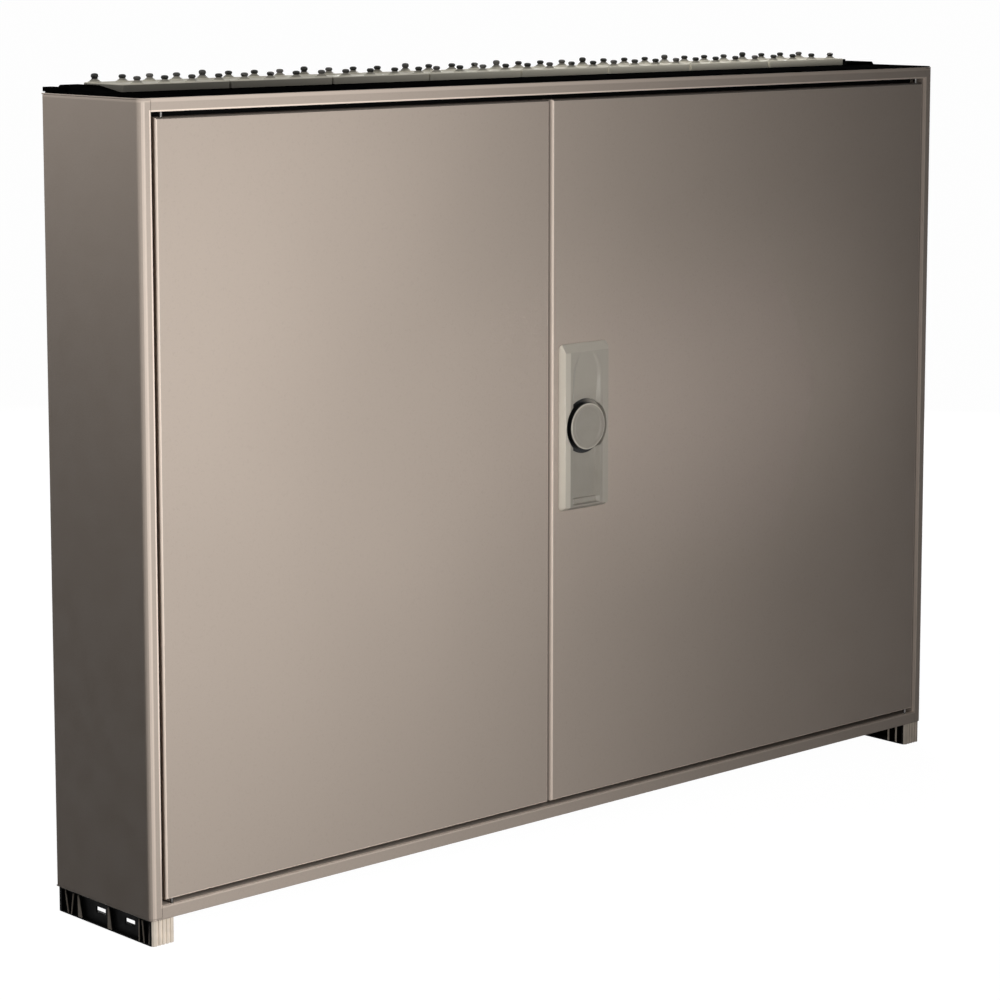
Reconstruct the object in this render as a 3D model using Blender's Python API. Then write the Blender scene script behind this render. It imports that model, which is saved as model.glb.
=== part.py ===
"""Wide sheet-steel distribution board with two inset doors, cable entry flanges and moulded feet.

Metres, +Z up. The front faces -Y. The origin is on the floor, at the middle of the overall box.
"""

import math

import bmesh
import bpy

# Cabinet
WIDTH = 1.300
BODY_HEIGHT = 0.893
DEPTH = 0.180
SHEET = 0.0015
SEAT = 0.0003
EDGE_RADIUS = 0.007
FOLD_RADIUS = 0.0022
FRONT_STRIP = 0.0145
REAR_RETURN = 0.015
REBATE_DEPTH = 0.030
LIP_WIDTH = 0.012
SEAL_THICKNESS = 0.003
SEAL_WIDTH = 0.009
WALL_HOLE_RADIUS = 0.0045
WALL_HOLE_INSET = 0.050

# Doors
EDGE_GAP = 0.006
SEAM_GAP = 0.0055
SEAM_LEFT_OF_MIDDLE = 0.053
DOOR_DEPTH = 0.018
DOOR_LIP = 0.012
DOOR_RADIUS = 0.003
STIFFENER_WIDTH = 0.050
STIFFENER_DEPTH = 0.012
STIFFENER_FOOT = 0.012
STIFFENER_END_GAP = 0.030

# Hinge pins
PIN_FROM_DOOR_EDGE = 0.010
PIN_FROM_FRONT = 0.0045
PIN_RADIUS = 0.00175
PIN_HEAD_RADIUS = 0.0026
PIN_HEAD_HEIGHT = 0.002
PIN_REACH = 0.008
PIN_SIDES = 12

# Lock handle
HANDLE_HEIGHT = 0.478
PLATE_WIDTH = 0.080
PLATE_HEIGHT = 0.202
PLATE_PROUD = 0.008
PLATE_CORNER = 0.006
PLATE_EDGE = 0.0015
PLATE_SIDE_BEVEL = 0.004
PLATE_TOP_BEVEL = 0.010
PLATE_BOTTOM_BEVEL = 0.004
DISC_RADIUS = 0.0285
DISC_PROUD = 0.0105
DISC_GAP = 0.005
DISC_ROUNDING = 0.002
DISC_DISH_RADIUS = 0.022
DISC_DISH_DEPTH = 0.0012
DISC_SIDES = 40
WELL_FLOOR = 0.0015
TROUGH_WIDTH = 0.046
TROUGH_DEPTH = 0.006
TROUGH_END_DEPTH = 0.0045
TROUGH_SIDE_SLOPE = 0.004
TROUGH_TOP = 0.096
TROUGH_BOTTOM = 0.095
SPINDLE_RADIUS = 0.006
SPINDLE_SIDES = 20
CAM_THICKNESS = 0.003
CAM_REACH = 0.066
CAM_WIDTH = 0.020
CAM_CLEARANCE = 0.0052
LOCK_PLATE_WIDTH = 0.060
LOCK_PLATE_HEIGHT = 0.120
LOCK_PLATE_THICKNESS = 0.003
NUT_RADIUS = 0.009
NUT_HEIGHT = 0.005

# Cable entry
FLANGE_COUNT = 8
FLANGE_LEFT_MARGIN = 0.046
FLANGE_RIGHT_MARGIN = 0.072
FLANGE_SPACE = 0.003
FLANGE_DEPTH = 0.074
FLANGE_THICKNESS = 0.004
FLANGE_CHAMFER = 0.0012
FLANGE_FROM_REAR = 0.012
FRAME_THICKNESS = 0.006
COVER_THICKNESS = 0.001
COVER_INSET = 0.0008
FRAME_SIDE_INSET = 0.015
FRAME_MARGIN = 0.004
FRAME_END_INSET = 0.0005
ENTRY_MARGIN = 0.010
NIPPLES_PER_ROW = 4
NIPPLE_ROWS = 2
NIPPLE_ROW_PITCH = 0.042
NIPPLE_STAGGER = 0.018
NIPPLE_HEIGHT = 0.009
TALL_NIPPLE_HEIGHT = 0.0115
NIPPLE_SIDES = 10
NIPPLE_FOOT_RADIUS = 0.0085
NIPPLE_NECK_RADIUS = 0.0036
NIPPLE_HEAD_RADIUS = 0.0046

# Wall lugs
LUG_WIDTH = 0.0135
LUG_HEIGHT = 0.005
LUG_DEPTH = 0.028
LUG_RADIUS = 0.003

# Feet
FOOT_HEIGHT = 0.029
FOOT_WIDTH = 0.031
FOOT_LENGTH = 0.1765
FOOT_FRONT_INSET = 0.0015
FOOT_SIDE_INSET = 0.002
FOOT_WEB = 0.002
FOOT_TOP = 0.0015
FOOT_BOTTOM = 0.0012
FOOT_CORNER = 0.005
FOOT_WINDOW_HEIGHT = 0.007
FOOT_WINDOW_LENGTH = 0.018
FOOT_WINDOW_BOTTOM = 0.0125
FOOT_OUTER_POCKET = 0.005
FLUTE_COUNT = 4
FLUTE_WIDTH = 0.003
FLUTE_DEPTH = 0.0012

# Where the windows of a foot start, and where its ribs stand, as shares of its length.
# An outer rib is given by its top front, top rear, bottom front and bottom rear edge,
# an upright inner rib by its front and rear edge.
FOOT_WINDOW_SHARES = (0.222, 0.534)
FOOT_RIB_SHARES = (
    (0.000, 0.032, 0.000, 0.043),
    (0.102, 0.112, 0.085, 0.095),
    (0.136, 0.145, 0.136, 0.145),
    (0.460, 0.470, 0.432, 0.476),
    (0.789, 0.798, 0.752, 0.796),
    (0.841, 0.850, 0.865, 0.874),
    (0.931, 0.940, 0.900, 0.909),
    (0.978, 1.000, 0.978, 1.000),
)
FOOT_INNER_RIB_SHARES = (
    (0.000, 0.029),
    (0.080, 0.094),
    (0.155, 0.169),
    (0.520, 0.531),
    (0.850, 0.864),
    (0.975, 1.000),
)

# Inner frames
FIELD_COUNT = 5
FIELD_SIDE_MARGIN = 0.025
FIELD_SPACE = 0.012
UPRIGHT_WIDTH = 0.020
UPRIGHT_DEPTH = 0.045
UPRIGHT_END_GAP = 0.020
RAIL_ROWS = 5
RAIL_PITCH = 0.150
RAIL_HEIGHT = 0.035
RAIL_CROWN = 0.027
RAIL_DEPTH = 0.0075
RAIL_SHEET = 0.001

# Places worked out from the sizes
HALF_WIDTH = WIDTH / 2
FRONT_Y = (DISC_PROUD - DEPTH) / 2
REAR_Y = FRONT_Y + DEPTH
BASE_Z = FOOT_HEIGHT
TOP_Z = BASE_Z + BODY_HEIGHT
SEAM_X = -SEAM_LEFT_OF_MIDDLE
DOOR_EDGE = FRONT_STRIP + EDGE_GAP
DOOR_BOTTOM = BASE_Z + DOOR_EDGE
DOOR_TOP = TOP_Z - DOOR_EDGE
PIN_Y = FRONT_Y + PIN_FROM_FRONT
PIN_X = HALF_WIDTH - DOOR_EDGE - PIN_FROM_DOOR_EDGE
HANDLE_Z = BASE_Z + HANDLE_HEIGHT
CAM_FRONT_Y = FRONT_Y + DOOR_DEPTH + CAM_CLEARANCE
FLANGE_LEFT = FLANGE_LEFT_MARGIN - HALF_WIDTH
FLANGE_RIGHT = HALF_WIDTH - FLANGE_RIGHT_MARGIN
FLANGE_PITCH = (FLANGE_RIGHT - FLANGE_LEFT) / FLANGE_COUNT
FIELD_PITCH = (WIDTH - 2 * FIELD_SIDE_MARGIN) / FIELD_COUNT
FLANGE_REAR_Y = REAR_Y - FLANGE_FROM_REAR
FLANGE_FRONT_Y = FLANGE_REAR_Y - FLANGE_DEPTH
FLANGE_Z = TOP_Z + SEAT + FRAME_THICKNESS + SEAT
REAR_PANEL_Y = REAR_Y - SHEET - SEAT

COLOURS = {
    "powder_coat": ((0.50, 0.45, 0.40), 0.0, 0.45),
    "black_rubber": ((0.015, 0.015, 0.015), 0.0, 0.8),
    "black_plastic": ((0.012, 0.012, 0.013), 0.0, 0.5),
    "handle_plastic": ((0.24, 0.21, 0.20), 0.0, 0.4),
    "flange_plastic": ((0.42, 0.38, 0.34), 0.0, 0.55),
    "foot_plastic": ((0.62, 0.56, 0.50), 0.0, 0.6),
    "zinc_steel": ((0.55, 0.56, 0.57), 1.0, 0.35),
}


def clear_scene():
    for item in list(bpy.data.objects):
        bpy.data.objects.remove(item, do_unlink=True)


def material(node_name, kind):
    """One material for each sub-part, with the colour of its kind."""
    colour, metallic, roughness = COLOURS[kind]
    made = bpy.data.materials.new(node_name)
    made.use_nodes = True
    shader = made.node_tree.nodes["Principled BSDF"]
    shader.inputs["Base Color"].default_value = (*colour, 1.0)
    shader.inputs["Metallic"].default_value = metallic
    shader.inputs["Roughness"].default_value = roughness
    return made


def finish_object(name, shape, kind=None, smooth=False):
    """Turn a bmesh into a linked object; without a kind it is a cutter."""
    bmesh.ops.recalc_face_normals(shape, faces=shape.faces)
    mesh = bpy.data.meshes.new(name)
    shape.to_mesh(mesh)
    shape.free()
    made = bpy.data.objects.new(name, mesh)
    bpy.context.collection.objects.link(made)
    if smooth:
        mesh.shade_smooth()
        mesh.set_sharp_from_angle(angle=math.radians(35))
    if kind:
        mesh.materials.append(material(name, kind))
    else:
        made.hide_render = True
        made.display_type = "WIRE"
    return made


def boolean(target, tool, operation):
    modifier = target.modifiers.new(tool.name, "BOOLEAN")
    modifier.operation = operation
    modifier.solver = "EXACT"
    modifier.object = tool


def arc(centre, radius, start, end, steps):
    """Points along an arc, angles in degrees."""
    points = []
    for step in range(steps + 1):
        angle = math.radians(start + (end - start) * step / steps)
        points.append((centre[0] + radius * math.cos(angle), centre[1] + radius * math.sin(angle)))
    return points


def rounded_rectangle(x0, x1, y0, y1, radius, steps=4):
    corners = (
        ((x1 - radius, y1 - radius), 0),
        ((x0 + radius, y1 - radius), 90),
        ((x0 + radius, y0 + radius), 180),
        ((x1 - radius, y0 + radius), 270),
    )
    outline = []
    for centre, start in corners:
        outline += arc(centre, radius, start, start + 90, steps)
    return outline


def rounded_path(points, radii, steps=4):
    """Replace each inner corner of a right-angled path by an arc of its radius."""
    path = [points[0]]
    for before, corner, after, radius in zip(points, points[1:], points[2:], radii):
        back = unit(before, corner)
        ahead = unit(after, corner)
        centre = [corner[i] + (back[i] + ahead[i]) * radius for i in (0, 1)]
        for step in range(steps + 1):
            turn = math.radians(90 * step / steps)
            path.append(tuple(
                centre[i] - ahead[i] * radius * math.cos(turn) - back[i] * radius * math.sin(turn)
                for i in (0, 1)
            ))
    path.append(points[-1])
    return path


def unit(target, origin):
    length = math.dist(target, origin)
    return ((target[0] - origin[0]) / length, (target[1] - origin[1]) / length)


def folded_outline(path, thickness):
    """The closed section of a sheet whose outer face follows the path, material on its left."""
    inner = []
    for index, point in enumerate(path):
        normals = []
        if index > 0:
            normals.append(left_normal(path[index - 1], point))
        if index < len(path) - 1:
            normals.append(left_normal(point, path[index + 1]))
        total = [sum(normal[i] for normal in normals) for i in (0, 1)]
        scale = thickness * len(normals) / (total[0] ** 2 + total[1] ** 2)
        inner.append((point[0] + total[0] * scale, point[1] + total[1] * scale))
    return path + inner[::-1]


def left_normal(start, end):
    ahead = unit(end, start)
    return (-ahead[1], ahead[0])


def add_prism(shape, outline, axis, start, end):
    """Extrude a closed outline along an axis: Z takes (x, y), Y takes (x, z), X takes (y, z)."""
    rings = []
    for level in (start, end):
        ring = []
        for first, second in outline:
            spot = {"Z": (first, second, level), "Y": (first, level, second), "X": (level, first, second)}
            ring.append(shape.verts.new(spot[axis]))
        rings.append(ring)
    shape.faces.new(rings[0])
    shape.faces.new(rings[1][::-1])
    count = len(outline)
    for index in range(count):
        after = (index + 1) % count
        shape.faces.new((rings[0][index], rings[0][after], rings[1][after], rings[1][index]))


def add_box(shape, x_range, y_range, z_range):
    x0, x1 = x_range
    y0, y1 = y_range
    add_prism(shape, [(x0, y0), (x1, y0), (x1, y1), (x0, y1)], "Z", *z_range)


def add_turned(shape, profile, centre, axis, sides):
    """Turn (radius, height) pairs about a line along Z or Y through the centre; both ends are capped."""
    rings = []
    for radius, height in profile:
        ring = []
        for step in range(sides):
            angle = 2 * math.pi * step / sides
            across = radius * math.cos(angle)
            other = radius * math.sin(angle)
            if axis == "Z":
                spot = (centre[0] + across, centre[1] + other, centre[2] + height)
            else:
                spot = (centre[0] + across, centre[1] + height, centre[2] + other)
            ring.append(shape.verts.new(spot))
        rings.append(ring)
    for lower, upper in zip(rings, rings[1:]):
        for index in range(sides):
            after = (index + 1) % sides
            shape.faces.new((lower[index], lower[after], upper[after], upper[index]))
    shape.faces.new(rings[0])
    shape.faces.new(rings[-1][::-1])


def add_loft(shape, outlines, axis, levels):
    """Skin over outlines with like points, one at each level along Z or Y, and cap both ends."""
    rings = []
    for outline, level in zip(outlines, levels):
        if axis == "Z":
            rings.append([shape.verts.new((x, y, level)) for x, y in outline])
        else:
            rings.append([shape.verts.new((x, level, z)) for x, z in outline])
    count = len(rings[0])
    for lower, upper in zip(rings, rings[1:]):
        for index in range(count):
            after = (index + 1) % count
            shape.faces.new((lower[index], lower[after], upper[after], upper[index]))
    shape.faces.new(rings[0])
    shape.faces.new(rings[-1][::-1])


def add_swept_frame(shape, x_range, z_range, section, closed):
    """Sweep a section of (inset, depth) pairs round an upright rectangle, with mitred corners."""
    rings = []
    for inset, depth in section:
        left = x_range[0] + inset
        right = x_range[1] - inset
        low = z_range[0] + inset
        high = z_range[1] - inset
        corners = ((left, low), (right, low), (right, high), (left, high))
        rings.append([shape.verts.new((x, FRONT_Y + depth, z)) for x, z in corners])
    pairs = list(zip(rings, rings[1:]))
    if closed:
        pairs.append((rings[-1], rings[0]))
    else:
        shape.faces.new(rings[0])
        shape.faces.new(rings[-1][::-1])
    for lower, upper in pairs:
        for index in range(4):
            after = (index + 1) % 4
            shape.faces.new((lower[index], lower[after], upper[after], upper[index]))


def side_panel(name, side):
    """Side wall folded round to the front strip and to the rear return."""
    path = rounded_path(
        [(REAR_RETURN, DEPTH), (0, DEPTH), (0, 0), (FRONT_STRIP, 0)],
        [FOLD_RADIUS, EDGE_RADIUS],
        steps=5,
    )
    outline = folded_outline(path, SHEET)
    placed = [(side * (HALF_WIDTH - inset), FRONT_Y + depth) for inset, depth in outline]
    shape = bmesh.new()
    add_prism(shape, placed, "Z", BASE_Z + SHEET + SEAT, TOP_Z - SHEET - SEAT)
    return finish_object(name, shape, "powder_coat", smooth=True)


def cap_panel(name, level, inward):
    """Top or bottom sheet over the full plan, with its front strip and rear return."""
    plan = arc((HALF_WIDTH - EDGE_RADIUS, FRONT_Y + EDGE_RADIUS), EDGE_RADIUS, -90, 0, 5)
    plan += [(HALF_WIDTH, REAR_Y), (-HALF_WIDTH, REAR_Y)]
    plan += arc((EDGE_RADIUS - HALF_WIDTH, FRONT_Y + EDGE_RADIUS), EDGE_RADIUS, 180, 270, 5)
    sheet = bmesh.new()
    add_prism(sheet, plan, "Z", *sorted((level, level + inward * SHEET)))
    panel = finish_object(name, sheet, "powder_coat")

    strips = bmesh.new()
    root = level + inward * SHEET / 2
    half_front = HALF_WIDTH - FRONT_STRIP - SEAT
    half_rear = HALF_WIDTH - REAR_RETURN - SEAT
    front_z = sorted((root, level + inward * FRONT_STRIP))
    rear_z = sorted((root, level + inward * REAR_RETURN))
    add_box(strips, (-half_front, half_front), (FRONT_Y, FRONT_Y + SHEET), front_z)
    add_box(strips, (-half_rear, half_rear), (REAR_Y - SHEET, REAR_Y), rear_z)
    boolean(panel, finish_object(name + "_strips", strips), "UNION")
    return panel


def flange_centres():
    return [FLANGE_LEFT + FLANGE_PITCH * (index + 0.5) for index in range(FLANGE_COUNT)]


def entry_cutter(name):
    """The long cable opening under the flange plates, through the top sheet and the flange frame."""
    shape = bmesh.new()
    add_box(
        shape,
        (FLANGE_LEFT + ENTRY_MARGIN, FLANGE_RIGHT - ENTRY_MARGIN),
        (FLANGE_FRONT_Y + ENTRY_MARGIN, FLANGE_REAR_Y - ENTRY_MARGIN),
        (TOP_Z - FRONT_STRIP, FLANGE_Z),
    )
    return finish_object(name, shape)


def top_panel():
    panel = cap_panel("top_panel", TOP_Z, -1)
    boolean(panel, entry_cutter("top_openings"), "DIFFERENCE")


def bottom_panel():
    cap_panel("bottom_panel", BASE_Z, 1)


def rear_panel():
    """Plain back seated on the rear returns, with a wall fixing hole near each corner."""
    half = HALF_WIDTH - SHEET - SEAT
    shape = bmesh.new()
    add_box(
        shape,
        (-half, half),
        (REAR_PANEL_Y - SHEET, REAR_PANEL_Y),
        (BASE_Z + SHEET + SEAT, TOP_Z - SHEET - SEAT),
    )
    panel = finish_object("rear_panel", shape, "powder_coat")
    holes = bmesh.new()
    for x in (-HALF_WIDTH + WALL_HOLE_INSET, HALF_WIDTH - WALL_HOLE_INSET):
        for z in (BASE_Z + WALL_HOLE_INSET, TOP_Z - WALL_HOLE_INSET):
            profile = [(WALL_HOLE_RADIUS, -REAR_RETURN), (WALL_HOLE_RADIUS, REAR_RETURN)]
            add_turned(holes, profile, (x, REAR_PANEL_Y, z), "Y", 16)
    boolean(panel, finish_object("wall_holes", holes), "DIFFERENCE")


def pin_places():
    """Name, x and direction into the frame for each hinge pin."""
    places = []
    for side_name, x in (("left", -PIN_X), ("right", PIN_X)):
        for end_name, level, upward in (("top", TOP_Z, 1), ("bottom", BASE_Z, -1)):
            places.append((side_name, end_name, x, level, upward))
    return places


def pin_hole_cutter(name, side_name, radius, z_reach):
    """Round cutters at the hinge pins of one door, or of both when no side is named."""
    shape = bmesh.new()
    for side, _, x, level, upward in pin_places():
        if side_name in (side, None):
            start = level - upward * z_reach[0]
            profile = [(radius, 0), (radius, upward * (z_reach[0] - z_reach[1]))]
            add_turned(shape, profile, (x, PIN_Y, start), "Z", PIN_SIDES)
    return finish_object(name, shape)


def door_frame():
    """Rebate and stop lip, swept round the door opening behind the front strips."""
    section = [
        (FRONT_STRIP - SHEET, SHEET + SEAT),
        (FRONT_STRIP, SHEET + SEAT),
        (FRONT_STRIP, REBATE_DEPTH),
        (FRONT_STRIP + LIP_WIDTH, REBATE_DEPTH),
        (FRONT_STRIP + LIP_WIDTH, REBATE_DEPTH + SHEET),
        (FRONT_STRIP - SHEET, REBATE_DEPTH + SHEET),
    ]
    shape = bmesh.new()
    add_swept_frame(shape, (-HALF_WIDTH, HALF_WIDTH), (BASE_Z, TOP_Z), section, closed=True)
    frame = finish_object("door_frame", shape, "powder_coat")
    reach = (FRONT_STRIP + EDGE_GAP / 2, FRONT_STRIP - EDGE_GAP)
    cutter = pin_hole_cutter("frame_pin_holes", None, PIN_RADIUS + SEAT, reach)
    boolean(frame, cutter, "DIFFERENCE")


def frame_seal():
    """Soft strip on the stop lip."""
    front = REBATE_DEPTH - SEAT - SEAL_THICKNESS
    inset = FRONT_STRIP + SEAT
    section = [
        (inset, front),
        (inset + SEAL_WIDTH, front),
        (inset + SEAL_WIDTH, REBATE_DEPTH - SEAT),
        (inset, REBATE_DEPTH - SEAT),
    ]
    shape = bmesh.new()
    add_swept_frame(shape, (-HALF_WIDTH, HALF_WIDTH), (BASE_Z, TOP_Z), section, closed=True)
    finish_object("frame_seal", shape, "black_rubber")


def hinge_pins():
    for side_name, end_name, x, level, upward in pin_places():
        seat = level - upward * (FRONT_STRIP - SHEET - SEAT)
        tip = -(SHEET + SEAT + EDGE_GAP + PIN_REACH)
        profile = [
            (PIN_RADIUS, upward * tip),
            (PIN_RADIUS, 0),
            (PIN_HEAD_RADIUS, 0),
            (PIN_HEAD_RADIUS, upward * PIN_HEAD_HEIGHT),
        ]
        shape = bmesh.new()
        add_turned(shape, profile, (x, PIN_Y, seat), "Z", PIN_SIDES)
        finish_object(f"{side_name}_hinge_pin_{end_name}", shape, "zinc_steel", smooth=True)


def door_section():
    """Pan section from the front face round the folded edge to the inner face."""
    outer = arc((DOOR_RADIUS, DOOR_RADIUS), DOOR_RADIUS, 270, 180, 5)
    inner_radius = DOOR_RADIUS - SHEET
    inner = arc((DOOR_RADIUS, DOOR_RADIUS), inner_radius, 180, 270, 2)
    edge = [
        (0, DOOR_DEPTH),
        (DOOR_LIP, DOOR_DEPTH),
        (DOOR_LIP, DOOR_DEPTH - SHEET),
        (SHEET, DOOR_DEPTH - SHEET),
    ]
    return outer + edge + inner


def door_pan(side_name, x_range):
    shape = bmesh.new()
    add_swept_frame(shape, x_range, (DOOR_BOTTOM, DOOR_TOP), door_section(), closed=False)
    door = finish_object(f"{side_name}_door_panel", shape, "powder_coat", smooth=True)
    reach = (DOOR_EDGE + 2 * SHEET, DOOR_EDGE - SHEET)
    cutter = pin_hole_cutter(f"{side_name}_door_pin_holes", side_name, PIN_RADIUS + SEAT, reach)
    boolean(door, cutter, "DIFFERENCE")
    return door


def door_stiffener(side_name, middle):
    """Hat section fixed upright behind the skin."""
    half = STIFFENER_WIDTH / 2
    skin = SHEET + SEAT
    path = [
        (-half, skin),
        (STIFFENER_FOOT - half, skin),
        (STIFFENER_FOOT - half, skin + STIFFENER_DEPTH - SHEET),
        (half - STIFFENER_FOOT, skin + STIFFENER_DEPTH - SHEET),
        (half - STIFFENER_FOOT, skin),
        (half, skin),
    ]
    outline = folded_outline(path, SHEET)
    placed = [(middle + across, FRONT_Y + depth) for across, depth in outline]
    shape = bmesh.new()
    low = DOOR_BOTTOM + STIFFENER_END_GAP
    high = DOOR_TOP - STIFFENER_END_GAP
    add_prism(shape, placed, "Z", low, high)
    finish_object(f"{side_name}_door_stiffener", shape, "powder_coat")


def spindle_cutter(name, radius, depth_range):
    shape = bmesh.new()
    profile = [(radius, FRONT_Y + depth_range[0]), (radius, FRONT_Y + depth_range[1])]
    add_turned(shape, profile, (0, 0, HANDLE_Z), "Y", SPINDLE_SIDES)
    return finish_object(name, shape)


def left_door():
    x_range = (-HALF_WIDTH + DOOR_EDGE, SEAM_X - SEAM_GAP / 2)
    door_pan("left", x_range)
    door_stiffener("left", sum(x_range) / 2)


def right_door():
    x_range = (SEAM_X + SEAM_GAP / 2, HALF_WIDTH - DOOR_EDGE)
    door = door_pan("right", x_range)
    hole = spindle_cutter("door_spindle_hole", SPINDLE_RADIUS + SEAT, (-SHEET, 2 * SHEET))
    boolean(door, hole, "DIFFERENCE")
    door_stiffener("right", (CAM_REACH + x_range[1]) / 2)
    handle_plate()
    lock_plate()


def add_trough(shape, z_near, z_far, end_depth):
    """Finger trough with sloped sides, deepest beside the disc, cut from in front of the plate."""
    front = FRONT_Y - PLATE_PROUD
    back = (front + TROUGH_DEPTH, front + end_depth)
    half = TROUGH_WIDTH / 2
    foot = half - TROUGH_SIDE_SLOPE
    spread = half + TROUGH_SIDE_SLOPE
    rings = []
    for level, floor in zip((z_near, z_far), back):
        outer = 2 * front - floor
        corners = ((-spread, outer), (-foot, floor), (foot, floor), (spread, outer))
        rings.append([shape.verts.new((x, y, HANDLE_Z + level)) for x, y in corners])
    for index in range(4):
        after = (index + 1) % 4
        shape.faces.new((rings[0][index], rings[0][after], rings[1][after], rings[1][index]))
    shape.faces.new(rings[0])
    shape.faces.new(rings[1][::-1])


def handle_plate():
    """Bevelled plate with a round well for the disc and a finger trough above and below it."""
    half_x = PLATE_WIDTH / 2
    low = HANDLE_Z - PLATE_HEIGHT / 2
    high = HANDLE_Z + PLATE_HEIGHT / 2
    base = rounded_rectangle(-half_x, half_x, low, high, PLATE_CORNER)
    face = rounded_rectangle(
        PLATE_SIDE_BEVEL - half_x,
        half_x - PLATE_SIDE_BEVEL,
        low + PLATE_BOTTOM_BEVEL,
        high - PLATE_TOP_BEVEL,
        PLATE_CORNER,
    )
    levels = (FRONT_Y - SEAT, FRONT_Y - PLATE_EDGE, FRONT_Y - PLATE_PROUD)
    shape = bmesh.new()
    add_loft(shape, (base, base, face), "Y", levels)
    plate = finish_object("handle_plate", shape, "handle_plastic")

    troughs = bmesh.new()
    add_trough(troughs, 0, TROUGH_TOP - PLATE_TOP_BEVEL / 2, SEAT)
    add_trough(troughs, -SEAT, -TROUGH_BOTTOM, TROUGH_END_DEPTH)
    boolean(plate, finish_object("finger_troughs", troughs), "DIFFERENCE")
    radius = DISC_RADIUS + DISC_GAP
    well = bmesh.new()
    profile = [(radius, -2 * DISC_PROUD), (radius, -WELL_FLOOR)]
    add_turned(well, profile, (0, FRONT_Y, HANDLE_Z), "Y", DISC_SIDES)
    boolean(plate, finish_object("disc_well", well), "DIFFERENCE")
    hole = spindle_cutter("plate_spindle_hole", SPINDLE_RADIUS + SEAT, (-PLATE_PROUD, SHEET))
    boolean(plate, hole, "DIFFERENCE")


def lock_plate():
    """Steel plate behind the door skin, round the spindle."""
    shape = bmesh.new()
    front = FRONT_Y + SHEET + SEAT
    half_x = LOCK_PLATE_WIDTH / 2
    half_z = LOCK_PLATE_HEIGHT / 2
    z_range = (HANDLE_Z - half_z, HANDLE_Z + half_z)
    add_box(shape, (-half_x, half_x), (front, front + LOCK_PLATE_THICKNESS), z_range)
    plate = finish_object("lock_plate", shape, "zinc_steel")
    reach = (0, SHEET + LOCK_PLATE_THICKNESS * 2)
    cutter = spindle_cutter("lock_plate_hole", SPINDLE_RADIUS + SEAT, reach)
    boolean(plate, cutter, "DIFFERENCE")


def handle_disc():
    """Round grip with a rounded rim and a shallow dish, turned in one piece with its spindle."""
    end = DOOR_DEPTH + CAM_CLEARANCE + CAM_THICKNESS + SEAT + NUT_HEIGHT
    back = -WELL_FLOOR - SEAT
    rim_centre = (DISC_RADIUS - DISC_ROUNDING, DISC_ROUNDING - DISC_PROUD)
    profile = [(DISC_DISH_RADIUS - DISC_DISH_DEPTH, DISC_DISH_DEPTH - DISC_PROUD)]
    profile += [(DISC_DISH_RADIUS, -DISC_PROUD)]
    profile += arc(rim_centre, DISC_ROUNDING, 270, 360, 3)
    profile += [(DISC_RADIUS, back), (SPINDLE_RADIUS, back), (SPINDLE_RADIUS, end)]
    shape = bmesh.new()
    add_turned(shape, profile, (0, FRONT_Y, HANDLE_Z), "Y", DISC_SIDES)
    finish_object("handle_disc", shape, "handle_plastic", smooth=True)


def lock_cam():
    """Flat bar on the spindle, upright while unlocked; its turned end catches the left door."""
    half = CAM_WIDTH / 2
    straight = CAM_REACH - half
    outline = arc((0, HANDLE_Z + straight), half, 0, 180, 8)
    outline += arc((0, HANDLE_Z), half, 180, 360, 8)
    shape = bmesh.new()
    add_prism(shape, outline, "Y", CAM_FRONT_Y, CAM_FRONT_Y + CAM_THICKNESS)
    cam = finish_object("lock_cam", shape, "zinc_steel")
    reach = (DOOR_DEPTH, DOOR_DEPTH + CAM_CLEARANCE + CAM_THICKNESS * 2)
    cutter = spindle_cutter("cam_hole", SPINDLE_RADIUS + SEAT, reach)
    boolean(cam, cutter, "DIFFERENCE")


def spindle_nut():
    front = CAM_FRONT_Y + CAM_THICKNESS + SEAT
    shape = bmesh.new()
    profile = [(NUT_RADIUS, front), (NUT_RADIUS, front + NUT_HEIGHT)]
    add_turned(shape, profile, (0, 0, HANDLE_Z), "Y", 6)
    nut = finish_object("spindle_nut", shape, "zinc_steel")
    reach = (DOOR_DEPTH, DOOR_DEPTH + CAM_CLEARANCE + CAM_THICKNESS + NUT_HEIGHT * 2)
    cutter = spindle_cutter("nut_hole", SPINDLE_RADIUS + SEAT, reach)
    boolean(nut, cutter, "DIFFERENCE")


def flange_frame():
    """Thin black cover over the top, raised at the rear to carry the flange plates, with end blocks."""
    low = TOP_Z + SEAT
    half = HALF_WIDTH - COVER_INSET
    shape = bmesh.new()
    outline = rounded_rectangle(
        -half, half, FRONT_Y + COVER_INSET, REAR_Y - COVER_INSET, EDGE_RADIUS
    )
    add_prism(shape, outline, "Z", low, low + COVER_THICKNESS)
    frame = finish_object("flange_frame", shape, "black_plastic")

    raised = bmesh.new()
    half = HALF_WIDTH - FRAME_SIDE_INSET
    outline = rounded_rectangle(
        -half, half, FLANGE_FRONT_Y - FRAME_MARGIN, FLANGE_REAR_Y + FRAME_MARGIN, FRAME_MARGIN
    )
    add_prism(raised, outline, "Z", low + COVER_THICKNESS / 2, low + FRAME_THICKNESS)
    boolean(frame, finish_object("raised_frame", raised), "UNION")

    ends = bmesh.new()
    far = half - FRAME_END_INSET
    front = FLANGE_FRONT_Y - FRAME_MARGIN + FRAME_END_INSET
    rear = FLANGE_REAR_Y + FRAME_MARGIN - FRAME_END_INSET
    for x0, x1 in ((-far, FLANGE_LEFT), (FLANGE_RIGHT, far)):
        outline = rounded_rectangle(x0, x1, front, rear, FRAME_MARGIN / 2)
        add_prism(ends, outline, "Z", low + FRAME_THICKNESS / 2, FLANGE_Z + FLANGE_THICKNESS)
    boolean(frame, finish_object("frame_ends", ends), "UNION")
    boolean(frame, entry_cutter("frame_openings"), "DIFFERENCE")


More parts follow.
